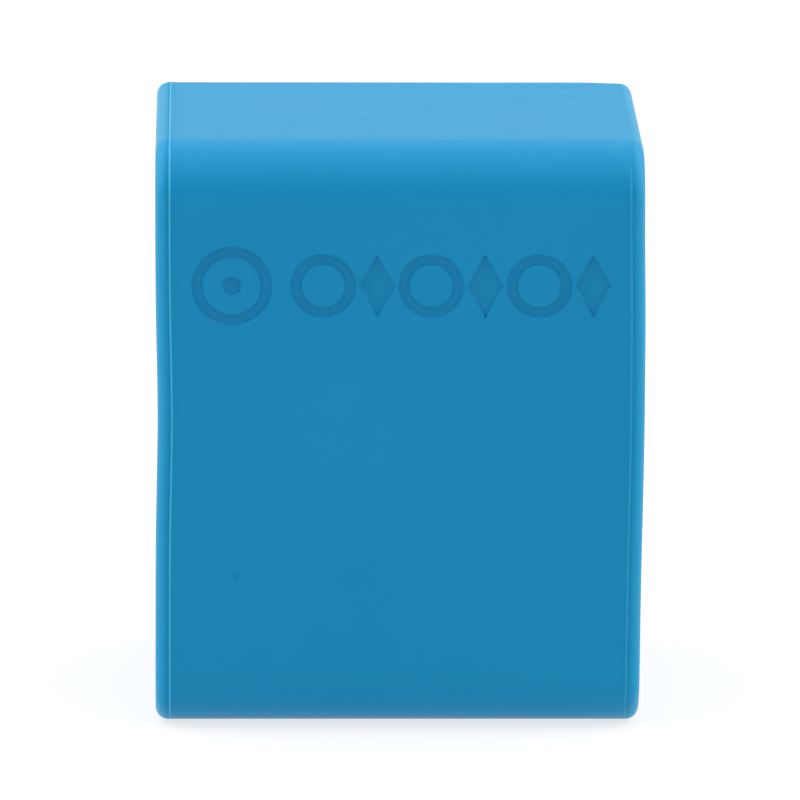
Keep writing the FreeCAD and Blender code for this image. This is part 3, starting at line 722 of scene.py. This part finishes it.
def sleeve_skin():
    """The open tube with its sunk mark and the raised line round each mouth."""
    points, normals = outline(fine=True)
    count = len(points)
    face = normals[:, 0] < -0.999
    around = np.cumsum(np.hypot(*(np.roll(points, -1, axis=0) - points).T))
    not_below = smooth_step(-0.985, -0.8, normals[:, 1])
    upright = smooth_step(0.85, 0.3, normals[:, 1])
    shown = {-1: not_below, 1: not_below * upright}

    def bead(side):
        """Height of the raised line: a little uneven, none under the case, and at the right none on top."""
        uneven = 1.0 + 0.16 * ripple(around * 2.1, around * 0.7, 3.0 + side)
        return BEAD_HEIGHT * BEAD_STRENGTH[side] * uneven * shown[side]

    def surface(x):
        """Inset of the outer surface: slow waves, the mark and the bubbles."""
        inset = -0.011 * ripple(x * 1.0, points[:, 1] + points[:, 0], 1.3) * not_below
        inset = inset + np.where(face, mark_depth(x, points[:, 1]), 0.0)
        for px, pz, radius, depth in PITS:
            away = ((x - px) ** 2 + (points[:, 1] - pz) ** 2) / radius ** 2
            inset = inset + np.where(face, depth * np.exp(-away), 0.0)
        return np.maximum(inset, -0.02)

    def mouth(side, profile):
        """The (x, inset) stations of one raised line, and how much paler flash and painted highlight each
        gets.
        """
        for across, share in profile:
            x = side * (TUBE_END - across * BEAD_WIDTH)
            stations.append((x, surface(x) - share * bead(side)))
            pale_and_highlight.append(np.clip(share, 0, 1) * BEAD_PALE_AND_HIGHLIGHT[side] * shown[side])

    stations, pale_and_highlight = [], []
    mouth(-1, BEAD_PROFILE)
    for x in stations_along():
        stations.append((x, surface(x)))
        pale_and_highlight.append(np.zeros(count))
    mouth(1, reversed(BEAD_PROFILE))
    outside = len(stations)
    lip = 0.25
    bore = TUBE_END - 0.4
    stations += [(TUBE_END, lip), (TUBE_END, WALL - MOUTH_CHAMFER), (TUBE_END - MOUTH_CHAMFER, WALL)]
    stations += [(x, WALL) for x in np.linspace(bore, -bore, 9)]
    stations += [(-TUBE_END + MOUTH_CHAMFER, WALL), (-TUBE_END, WALL - MOUTH_CHAMFER), (-TUBE_END, lip)]
    inside = len(stations) - outside

    # How far each point lies in the sunk mark. The material paints it darker as painted shade.
    sunk = []
    for x, _inset in stations[:outside]:
        sunk.append(np.where(face, np.clip(mark_depth(x, points[:, 1]) / MARK_DEPTH, 0, 1), 0.0))
    nothing = [np.zeros(count)] * inside
    obj = new_mesh("case_sleeve_skin", warped(loft(stations, points, normals)),
                   grid_faces(len(stations), count, closed=True), "case")
    # The raised lines get paler flash and a painted highlight.
    paint(obj, "pale_and_highlight", np.concatenate(pale_and_highlight + nothing))
    paint(obj, "sunk", np.concatenate(sunk + nothing))
    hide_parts("case_sleeve")
    cover(obj, BLUE)
    obj.data.materials.append(BLUE_INSIDE)
    indices = np.zeros(len(obj.data.polygons), np.int32)
    indices[outside * count:] = 1
    obj.data.polygons.foreach_set("material_index", indices)
    sharpen(obj, 50)


# ---------------------------------------------------------------- the two end pieces

MOUTH_EDGE = {-1: 0.05, 1: 0.02}


def end_stations(side, inset, plug):
    """(x, inset) stations of an end piece from its plug out to its outer face."""
    r = CASE_END - TUBE_END - 0.04
    edge = MOUTH_EDGE[side]
    stations = [(PLUG_END, inset + 0.25), (PLUG_END + 0.12, inset + 0.06), (PLUG_END + 0.3, inset)]
    stations += plug
    stations += [(TUBE_END - 0.02, inset), (TUBE_END, inset), (TUBE_END, 0.9), (TUBE_END, edge),
                 (TUBE_END + 0.24 * edge, 0.24 * edge), (TUBE_END + edge, 0.0)]
    for angle in np.radians(np.linspace(0, 90, 15)):
        stations.append((CASE_END - r + r * math.sin(angle), r - r * math.cos(angle)))
    stations += [(CASE_END, r + 0.05), (CASE_END, r + 0.5), (CASE_END, 2.6)]
    return [(side * x, i) for x, i in stations]


def end_blank(name, side, inset, plug):
    """An end piece before anything is cut into it. Its rounded edge is a little uneven."""
    points, normals = outline(fine=False)
    stations = end_stations(side, inset, plug)
    rings = loft(stations, points, normals)
    plate = (np.abs(rings[:, 0]) > TUBE_END + 0.2) & (rings[:, 2] > 0.4)
    uneven = np.where(plate, 0.010 * ripple(rings[:, 1] * 1.3, rings[:, 2], 2.0 + side), 0.0)
    outwards = rings - np.array([0.0, 0.0, HEIGHT / 2])
    outwards[:, 0] = 0.0
    outwards /= np.maximum(np.linalg.norm(outwards, axis=1, keepdims=True), 1e-6)
    rings = rings + outwards * uneven[:, None]
    count, number = len(points), len(stations)
    faces = grid_faces(number, count)
    faces.append(tuple(range(count)))
    faces.append(tuple(reversed(range((number - 1) * count, number * count))))
    obj = new_mesh(name, rings, faces)
    face_out(obj)
    return obj


def end_finished(obj, node, body, side):
    """Warp the end piece with the tube's mouth, then shade and colour it, with a painted highlight on the
    rounds that turn to the side.
    """
    sliced(obj, 1.1)
    places = np.empty(len(obj.data.vertices) * 3)
    obj.data.vertices.foreach_get("co", places)
    obj.data.vertices.foreach_set("co", (warped(places.reshape(-1, 3) / MM) * MM).ravel())
    obj.data.update()
    sharpen(obj, 38)
    even_out(obj)
    cover(obj, BLUE)
    obj.data.materials.append(BLUE_INSIDE)
    for face in obj.data.polygons:
        inside = side * face.center[0] / MM < TUBE_END - 0.05
        face.material_index = 1 if inside else 0
    # Painted highlight: the rounded edge is drawn paler where it turns towards the side.
    lean = np.array([abs(vertex.normal.x) for vertex in obj.data.vertices])
    reach = np.array([abs(vertex.co.x) / MM for vertex in obj.data.vertices])
    turned = smooth_step(0.05, 0.45, lean) * smooth_step(1.0, 0.8, lean) * (reach > TUBE_END + 0.01)
    paint(obj, "pale_and_highlight", 0.15 * turned)
    paint(obj, "sunk", np.zeros(len(obj.data.vertices)))
    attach(obj, body)
    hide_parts(node)


def screw_places(node):
    """How far the pair of screws sits from the middle along Y, and at what level."""
    low, high = box_mm(node)
    return high[1] - HEAD_RADIUS, (low[2] + high[2]) / 2


def core_outline(shrink):
    """Points (y, z) round the hollow inside the left cap."""
    half = DEPTH / 2 - CAP_INSET - CORED_RIM
    top = HEIGHT - CAP_INSET - CORED_RIM
    r = CORED_RIM
    corners = []
    for cy, cz, start in ((half - r, top - r, 0), (-half + r, top - r, 90),
                          (-half + r, CORED_LEVEL + r, 180), (half - r, CORED_LEVEL + r, 270)):
        for angle in np.radians(np.linspace(start, start + 90, 9)):
            corners.append((cy + (r - shrink) * math.cos(angle), cz + (r - shrink) * math.sin(angle)))
    return np.array(corners)


def cap_skin():
    """The left cap: cored out from inside, with countersunk seats for its two screws."""
    obj = end_blank("left_end_cap_skin", -1, CAP_INSET, [])
    rings = []
    for deep, shrink in ((-0.3, -0.2), (0.0, -0.2), (0.15, -0.03), (0.3, 0.0), (1.5, 0.0),
                         (CORED_DEPTH - 0.08, 0.1), (CORED_DEPTH, 0.35)):
        ring = core_outline(shrink)
        rings.append(np.column_stack([np.full(len(ring), -PLUG_END - deep), ring]))
    carve(obj, tube_of(rings, "hollow"))
    side, level = screw_places("cap_screws")
    seat = [(-CASE_END - 0.3, 2.05), (-CASE_END, 2.02), (-CASE_END + 0.06, 1.93), (-CASE_END + 0.9, 1.07),
            (-CASE_END + 1.0, SCREW_HOLE), (-PLUG_END - 0.15, SCREW_HOLE), (-PLUG_END + 0.01, 1.17),
            (-PLUG_END + 0.3, 1.17)]
    for y in (-side, side):
        carve(obj, round_cutter("screw_hole", seat, y, level))
    end_finished(obj, "left_end_cap", "case", -1)


def front_skin():
    """The drawer front: a groove for the seal, an undercut finger grip and two pilot holes."""
    start, end = SEAL_LOW[0], SEAL_HIGH[0]
    groove = [(start - 0.03, FRONT_INSET), (start, FRONT_INSET + 0.03), (start, GROOVE_INSET - 0.05),
              (start + 0.05, GROOVE_INSET), (end - 0.05, GROOVE_INSET), (end, GROOVE_INSET - 0.05),
              (end, FRONT_INSET + 0.03), (end + 0.03, FRONT_INSET)]
    obj = end_blank("drawer_front_skin", 1, FRONT_INSET, groove)
    wide = GRIP_UNDERCUT
    grip = [(-0.3, 0.34), (0.0, 0.30), (0.05, 0.19), (0.14, 0.08), (0.28, 0.01), (0.4, 0.0),
            (GRIP_LIP - 0.15, 0.0), (GRIP_LIP - 0.05, 0.04), (GRIP_LIP, 0.16),
            (GRIP_LIP + 0.01, wide - 0.18), (GRIP_LIP + 0.06, wide - 0.06), (GRIP_LIP + 0.16, wide),
            (GRIP_DEPTH - 0.3, wide), (GRIP_DEPTH - 0.1, wide - 0.1), (GRIP_DEPTH, wide - 0.35)]
    rings = []
    for deep, wider in grip:
        ring = stadium(GRIP_HALF_SPAN, GRIP_RADIUS + wider, GRIP_LEVEL)
        rings.append(np.column_stack([np.full(len(ring), CASE_END - deep), ring]))
    carve(obj, tube_of(rings, "grip"))
    side, level = screw_places("front_screws")
    pilot = [(PLUG_END - 0.3, 1.17), (PLUG_END - 0.01, 1.17), (PLUG_END + 0.12, SCREW_HOLE),
             (PLUG_END + 2.3, SCREW_HOLE)]
    for y in (-side, side):
        carve(obj, round_cutter("pilot_hole", pilot, y, level))
    end_finished(obj, "drawer_front", "drawer", 1)


def seal_skin():
    """A soft ring with a round outer lip, lying in the groove of the drawer front."""
    points, normals = outline(fine=False)
    low, high = SEAL_LOW[0], SEAL_HIGH[0]
    middle, half = (low + high) / 2, (high - low) / 2
    outer, inner = WALL + 0.05, GROOVE_INSET
    lip = 0.30
    section = [(low + 0.02, inner - 0.08), (low + 0.02, outer + 0.42), (low + 0.10, outer + lip)]
    for angle in np.radians(np.linspace(205, -25, 12)):
        section.append((middle + 0.72 * half * math.cos(angle), outer + lip - lip * math.sin(angle)))
    section += [(high - 0.10, outer + lip), (high - 0.02, outer + 0.42), (high - 0.02, inner - 0.08),
                (high - 0.10, inner - 0.01), (low + 0.10, inner - 0.01)]
    obj = new_mesh("dust_seal_skin", loft(section, points, normals),
                   grid_faces(len(section), len(points), closed=True), "drawer")
    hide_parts("dust_seal")
    cover(obj, RUBBER)


# ---------------------------------------------------------------- chalk, label, pad

def block_grid(low, high, steps, round_edge):
    """Points and quads of a box with rounded edges, evenly divided. Shared edges are merged."""
    low, high = np.array(low), np.array(high)
    centre, half = (low + high) / 2, (high - low) / 2
    shape = bmesh.new()
    for axis in range(3):
        others = [a for a in range(3) if a != axis]
        for side in (-1, 1):
            n, m = steps[others[0]], steps[others[1]]
            verts = []
            for i in range(n + 1):
                for j in range(m + 1):
                    p = np.zeros(3)
                    p[axis] = side
                    p[others[0]] = 2 * i / n - 1
                    p[others[1]] = 2 * j / m - 1
                    verts.append(shape.verts.new(p * half))
            for i in range(n):
                for j in range(m):
                    a = i * (m + 1) + j
                    shape.faces.new((verts[a], verts[a + m + 1], verts[a + m + 2], verts[a + 1]))
    bmesh.ops.remove_doubles(shape, verts=shape.verts, dist=1e-5)
    bmesh.ops.recalc_face_normals(shape, faces=shape.faces)
    shape.verts.ensure_lookup_table()
    points = np.array([v.co[:] for v in shape.verts])
    faces = [tuple(v.index for v in f.verts) for f in shape.faces]
    shape.free()
    core = np.clip(points, -(half - round_edge), half - round_edge)
    out = points - core
    length = np.maximum(np.linalg.norm(out, axis=1, keepdims=True), 1e-9)
    points = np.where(length > 1e-6, core + out / length * round_edge, points)
    return points + centre, faces, centre, half


def rumble(places, scale, seed, octaves=4):
    """Fractal noise at each place, about -1 to 1."""
    found = np.zeros(len(places))
    for i, p in enumerate(places):
        found[i] = noise.fractal(Vector(p * scale) + Vector((seed, 0, 0)), 0.9, 2.1, octaves)
    return found


def chalk_skin():
    """The chalk: a worn dish in the top, chipped upper edges and a slightly rough skin."""
    low, high = CHALK_LOW, CHALK_HIGH
    steps = ((84, 84, 60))
    points, faces, centre, half = block_grid(low, high, steps, 0.35)
    from_centre = points - centre
    top = high[2]
    across = np.hypot(from_centre[:, 0], from_centre[:, 1])
    depth = np.sqrt(np.maximum(DISH_BALL ** 2 - across ** 2, 0)) - (DISH_BALL - DISH_DEPTH)
    softness = 0.16
    dish = softness * np.logaddexp(0, depth / softness)
    near_top = smooth_step(top - 1.2, top - 0.3, points[:, 2])
    rough = rumble(points, 0.55, seed=4.0)
    fine = rumble(points, 2.1, seed=9.0, octaves=3)
    points[:, 2] -= near_top * dish

    upper = smooth_step(top - 4.0, top - 0.5, points[:, 2])
    to_side = half[:2] - np.abs(from_centre[:, :2])
    rim = upper * np.exp(-np.maximum(to_side.min(axis=1), 0) / 0.7)
    chips = np.clip(np.clip(rough - 0.15, 0, 1) * 0.9 + 0.12 + 0.10 * fine, 0, 0.8)
    sideways = -np.sign(from_centre[:, :2]) * (to_side < 0.9)
    inward = np.column_stack([sideways, -np.ones(len(points))])
    points += inward * (rim * chips)[:, None] * np.array([0.7, 0.7, 0.9])
    grain = 0.035 * np.clip(fine + 0.6, 0, 2) + 0.03 * np.clip(rough, 0, 1)
    points -= (points - centre) / np.linalg.norm(points - centre, axis=1, keepdims=True) * grain[:, None]
    points[:, :2] = np.clip(points[:, :2], low[:2] + 0.01, high[:2] - 0.01)
    points[:, 2] = np.clip(points[:, 2], low[2] + 0.01, high[2])
    obj = new_mesh("chalk_cube_skin", points, faces, "drawer")
    # Darker in the dish: partly rubbing, partly painted shade.
    paint(obj, "dish_wear_and_shade", near_top * smooth_step(7.6, 5.6, across + 0.9 * rough))
    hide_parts("chalk_cube")
    cover(obj, CHALK)


LABEL_STEPS = 46
BEND_STEPS = 4


def label_ring(half, inset):
    """Points (x, y) once round the wrapper, with bent corners."""
    hx, hy = half[0] - inset, half[1] - inset
    r = max(0.3 - inset, 0.08)
    corners = ((hx - r, -hy + r, -90), (hx - r, hy - r, 0), (-hx + r, hy - r, 90), (-hx + r, -hy + r, 180))
    bends = []
    for cx, cy, start in corners:
        angles = np.radians(np.linspace(start, start + 90, BEND_STEPS + 1))
        bends.append(np.column_stack([cx + r * np.cos(angles), cy + r * np.sin(angles)]))
    ring = []
    for i in range(4):
        a, b = bends[i][-1], bends[(i + 1) % 4][0]
        ring += list(bends[i])
        ring += [a + (b - a) * t for t in np.linspace(0, 1, LABEL_STEPS + 1)[1:-1]]
    return np.array(ring)


def label_skin():
    """The paper wrapper: four sides with a worn, torn upper edge, folded under the cube."""
    low, high = LABEL_LOW, LABEL_HIGH
    middle = (low + high)[:2] / 2
    half = (high - low) / 2 - 0.01
    base = low[2] + 0.01
    outer, inner = label_ring(half, 0.0), label_ring(half, PAPER)
    count = len(outer)
    along = np.concatenate([[0], np.cumsum(np.hypot(*np.diff(outer, axis=0).T))])
    frayed = 0.16 * np.clip(ripple(along * 6.0, along * 2.3, 5.0) + 0.6, 0, 1.6)
    torn = 0.5 * np.exp(-((along - 31.0) / 0.8) ** 2) + 0.32 * np.exp(-((along - 66.5) / 0.5) ** 2)
    edge = high[2] - 0.02 - frayed - torn

    rings, rise = [], []

    def add_ring(flat, z):
        rings.append(np.column_stack([middle + flat, z]))
        rise.append(z - low[2])

    for t in np.concatenate([[0.0, 0.02], np.linspace(0.06, 0.94, 20), [0.97, 1.0]]):
        z = base + (edge - base) * t
        flute = 0.03 * np.clip(ripple(along * 1.7, z * 2.0, 8.0), 0, 1) * (t > 0.05)
        add_ring(outer * (1 - flute / half[0])[:, None], z)
    for t in (1.0, 0.5, 0.0):
        floor = base + 0.01 + PAPER
        add_ring(inner, floor + (edge - 0.02 - low[2] - PAPER - 0.02) * t)
    faces = grid_faces(len(rings), count)
    faces.append(tuple(reversed(range(count))))
    faces.append(tuple(range((len(rings) - 1) * count, len(rings) * count)))
    obj = new_mesh("chalk_label_skin", np.concatenate(rings), faces)
    face_out(obj)
    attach(obj, "drawer")
    rise = np.concatenate(rise)
    paint(obj, "rise", rise)
    paint(obj, "along", np.tile(along, len(rings)))
    bends = along[BEND_STEPS // 2::BEND_STEPS + LABEL_STEPS]
    corner = np.minimum.reduce([np.abs(along - bend) for bend in bends])
    rubbed = np.exp(-np.tile(corner, len(rings)) / 0.35) + smooth_step(19.6, 20.9, rise) * 0.9
    paint(obj, "rubbed", np.clip(rubbed, 0, 1))
    sharpen(obj, 40)
    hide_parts("chalk_label")
    cover(obj, PAPER_PRINT)


def pad_skin():
    """A square of double-sided foam tape with cut, slightly bulging edges."""
    points, faces, centre, half = block_grid(PAD_LOW, PAD_HIGH, (40, 40, 4), 0.09)
    wave = 0.08 * np.clip(ripple(points[:, 0] * 5.0, points[:, 1] * 4.0, 2.0) + 0.7, 0, 1.6)
    for a in (0, 1):
        edge = np.abs(points[:, a] - centre[a]) > half[a] - 0.2
        points[:, a] -= np.sign(points[:, a] - centre[a]) * wave * edge
    obj = new_mesh("adhesive_pad_skin", points, faces, "drawer")
    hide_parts("adhesive_pad")
    cover(obj, FOAM)


# ---------------------------------------------------------------- screws

def screw_section(length):
    """(depth, radius) down a screw, from the middle of its socket over the head to the tip.
    A radius is a number or one number per side."""
    angles = np.linspace(0, 2 * math.pi, SCREW_SIDES, endpoint=False)
    flats = SOCKET_RADIUS * math.cos(math.pi / 6) / np.cos(angles % (math.pi / 3) - math.pi / 6)
    section = [(SOCKET_DEPTH + 0.08, 0.02), (SOCKET_DEPTH, flats * 0.93), (SOCKET_DEPTH - 0.04, flats),
               (0.07, flats), (0.02, SOCKET_RADIUS + 0.02), (0.0, SOCKET_RADIUS + 0.06),
               (0.0, HEAD_RADIUS - 0.10), (0.02, HEAD_RADIUS - 0.04), (0.06, HEAD_RADIUS - 0.01),
               (0.12, HEAD_RADIUS - 0.05), (HEAD_HEIGHT, SCREW_RADIUS),
               (HEAD_HEIGHT + 0.1, SCREW_RADIUS - 0.02)]
    thread = HEAD_HEIGHT + 0.15
    for x in np.arange(thread, length - 0.35, THREAD_PITCH / 8):
        turn = (x / THREAD_PITCH - angles / (2 * math.pi)) % 1.0
        crest = smooth_step(0.15, 0.85, 1 - np.abs(2 * turn - 1))
        cut = THREAD_DEPTH * smooth_step(thread, thread + 0.45, x)
        section.append((x, SCREW_RADIUS - 0.01 - cut * (1 - crest)))
    return section + [(length - 0.3, SCREW_RADIUS - THREAD_DEPTH), (length - 0.02, 0.55), (length, 0.45)]


def screw_skins(node, body):
    """Two countersunk screws with hexagon sockets and cut threads, pointing along +X."""
    low, high = box_mm(node)
    side, level = screw_places(node)
    section = screw_section(high[0] - low[0])
    angles = np.linspace(0, 2 * math.pi, SCREW_SIDES, endpoint=False)
    rings, faces = [], []
    for y in (-side, side):
        first = len(rings) * SCREW_SIDES
        for x, radius in section:
            across, up = y + radius * np.cos(angles), level + radius * np.sin(angles)
            rings.append(np.column_stack([np.full(SCREW_SIDES, low[0] + x), across, up]))
        last = (len(rings) - 1) * SCREW_SIDES
        faces += grid_faces(len(section), SCREW_SIDES, first)
        faces += [tuple(range(first, first + SCREW_SIDES)), tuple(range(last, last + SCREW_SIDES))]
    obj = new_mesh(node + "_skin", np.concatenate(rings), faces)
    face_out(obj)
    sharpen(obj, 30)
    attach(obj, body)
    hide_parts(node)
    cover(obj, ZINC)


sleeve_skin()
cap_skin()
front_skin()
seal_skin()
chalk_skin()
label_skin()
pad_skin()
cover(softened("drawer_tray", "drawer", 0.14), TRAY)
cover(softened("magnet_block", "case", 0.25), BLOCK)
cover(softened("keeper_bar", "case", 0.18), BAR)
cover(softened("base_magnets", "case", 0.22, 3), NICKEL)
cover(softened("guide_pin", "case", 0.16), ZINC)
screw_skins("cap_screws", "case")
screw_skins("front_screws", "drawer")


# ---------------------------------------------------------------- floor, light and camera

def pale_floor():
    """A wide floor that turns up into a low wall all round. It glows a little, more so far away."""
    profile = ((300.0, 0.0), (1000.0, 0.0), (1500.0, 0.0), (1750.0, 15.0), (1900.0, 50.0), (1960.0, 120.0))
    angles = np.linspace(0, 2 * math.pi, 96, endpoint=False)
    rings = []
    for radius, level in profile:
        heights = np.full(len(angles), level)
        rings.append(np.column_stack([radius * np.cos(angles), radius * np.sin(angles), heights]))
    faces = grid_faces(len(rings), len(angles))
    faces.append(tuple(range(len(angles))))
    obj = new_mesh("floor", np.concatenate(rings), faces)
    obj.location.z = CAD_BOUNDS[0].z - 0.03 * MM
    look = Look("pale_floor")
    far = look.node("ShaderNodeVectorMath", operation="LENGTH")
    look.link(look.place, far.inputs[0])
    glow = look.between(far.outputs["Value"], 400.0, 1500.0, 0.72, 0.95)
    look.feed(look.shader.inputs["Emission Strength"], glow)
    look.finish(rgb(0.25, 0.25, 0.25), 0.9, Specular_IOR_Level=0.0)
    look.shader.inputs["Emission Color"].default_value = rgb(1.0, 1.0, 1.0)
    obj.data.materials.append(look.material)


def soft_light(name, place, target, width, height, watts):
    """A wide lamp that faces its target. Places and sizes are in metres."""
    data = bpy.data.lights.new(name, "AREA")
    data.shape = "RECTANGLE"
    data.size, data.size_y = width, height
    data.energy = watts
    lamp = bpy.data.objects.new(name, data)
    lamp.location = place
    lamp.rotation_euler = (Vector(target) - Vector(place)).to_track_quat("-Z", "Y").to_euler()
    bpy.context.scene.collection.objects.link(lamp)


def lights():
    """A pale surround, one wide lamp overhead and one at each side."""
    world = bpy.data.worlds.new("studio")
    world.use_nodes = True
    background = world.node_tree.nodes["Background"]
    background.inputs["Color"].default_value = rgb(1.0, 1.0, 1.0)
    background.inputs["Strength"].default_value = 0.30
    bpy.context.scene.world = world
    soft_light("overhead", (0.0, 0.0, 1.0), (0, 0, 0.0), 2.4, 2.4, 24.0)
    soft_light("left_wall", (-1.1, 0.15, 0.55), (0, 0, 0.02), 1.2, 1.0, 10.5)
    soft_light("right_wall", (1.1, 0.15, 0.55), (0, 0, 0.02), 1.2, 1.0, 10.5)
    bpy.context.scene.view_settings.view_transform = "Standard"


def main_camera():
    """Almost straight on to the marked face and a little above it, from many case widths off."""
    low, high = CAD_BOUNDS
    width = high.x - low.x
    front = FRONT_LOW[1] * MM
    middle = (low.x + high.x) / 2
    aside, away, above = -0.3846 * width, 18.3675 * width, 5.1148 * width
    elevation, yaw, roll = math.radians(13.50), 0.021, 0.0055
    level = Vector((math.cos(yaw), -math.sin(yaw), 0.0))
    ahead = Vector((math.sin(yaw), math.cos(yaw), 0.0))
    forward = math.cos(elevation) * ahead - Vector((0.0, 0.0, math.sin(elevation)))
    upward = level.cross(forward)
    right = math.cos(roll) * level + math.sin(roll) * upward
    up = -math.sin(roll) * level + math.cos(roll) * upward
    data = bpy.data.cameras.new("main")
    data.sensor_width = 36.0
    data.lens = 415.2
    data.clip_start, data.clip_end = 0.05, 20.0
    camera = bpy.data.objects.new("main", data)
    turned = Matrix((right, up, -forward)).transposed().to_4x4()
    place = Vector((middle + aside, front - away, low.z + above))
    camera.matrix_world = Matrix.Translation(place) @ turned
    bpy.context.scene.collection.objects.link(camera)
    bpy.context.scene.camera = camera


pale_floor()
lights()
main_camera()
